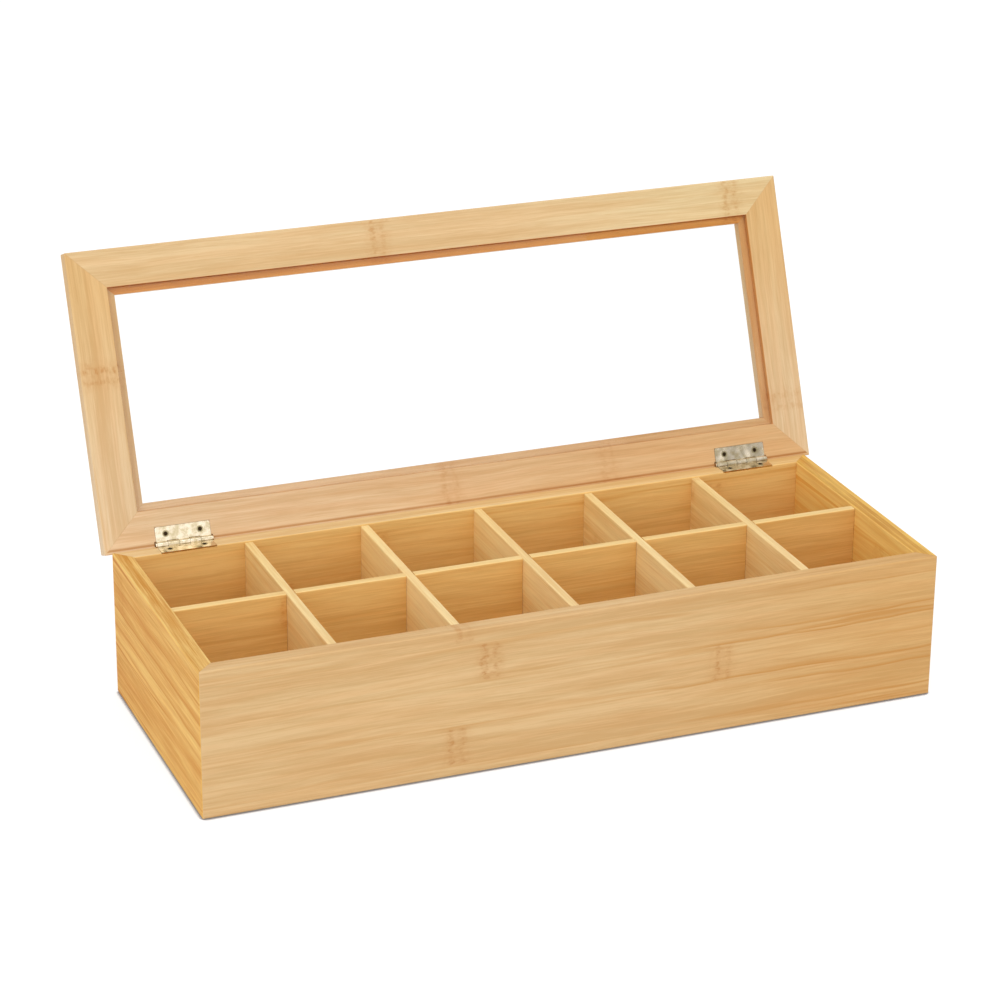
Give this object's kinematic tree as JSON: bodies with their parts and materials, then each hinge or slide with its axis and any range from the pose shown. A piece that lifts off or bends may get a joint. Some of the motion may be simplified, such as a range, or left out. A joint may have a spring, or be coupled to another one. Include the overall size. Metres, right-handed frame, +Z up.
{
  "type": "tea bag organizer box",
  "caption": "Long bamboo box with small square compartments for tea bags and a hinged, windowed lid that stands open by itself.",
  "frame": {"origin": "centre of the base, on the surface the box stands on", "axes": "+X along the box, -Y is the front, +Z up; the lid is drawn open, leaning back"},
  "size_m": [0.438, 0.2382, 0.2409],
  "materials": {
    "wall_bamboo": "satin clear lacquer on laminated bamboo",
    "lid_bamboo": "satin clear lacquer on laminated bamboo",
    "divider_bamboo": "satin clear lacquer on thin bamboo board",
    "bottom_bamboo": "satin clear lacquer on bamboo panel",
    "pane": "clear, polished",
    "brass": "pale brass plating, slightly brushed",
    "screws": "pale brass plating"
  },
  "bodies": {
    "box": {"front_wall": "wall_bamboo", "back_wall": "wall_bamboo", "left_wall": "wall_bamboo", "right_wall": "wall_bamboo", "bottom_panel": "bottom_bamboo", "long_divider": "divider_bamboo", "cross_divider_1": "divider_bamboo", "cross_divider_2": "divider_bamboo", "cross_divider_3": "divider_bamboo", "cross_divider_4": "divider_bamboo", "cross_divider_5": "divider_bamboo", "left_hinge_box_leaf": "brass", "right_hinge_box_leaf": "brass", "left_hinge_pin": "brass", "right_hinge_pin": "brass", "box_leaf_screws": "screws"},
    "lid": {"lid_front_rail": "lid_bamboo", "lid_rear_rail": "lid_bamboo", "lid_left_stile": "lid_bamboo", "lid_right_stile": "lid_bamboo", "window_pane": "pane", "left_hinge_lid_leaf": "brass", "right_hinge_lid_leaf": "brass", "lid_leaf_screws": "screws"}
  },
  "joints": [
    {"name": "lid_hinge", "type": "hinge", "parent": "box", "child": "lid", "pos_m": [0, 0.0834, 0.08525], "axis": [1, 0, 0], "range_deg": [0, 112]}
  ]
}
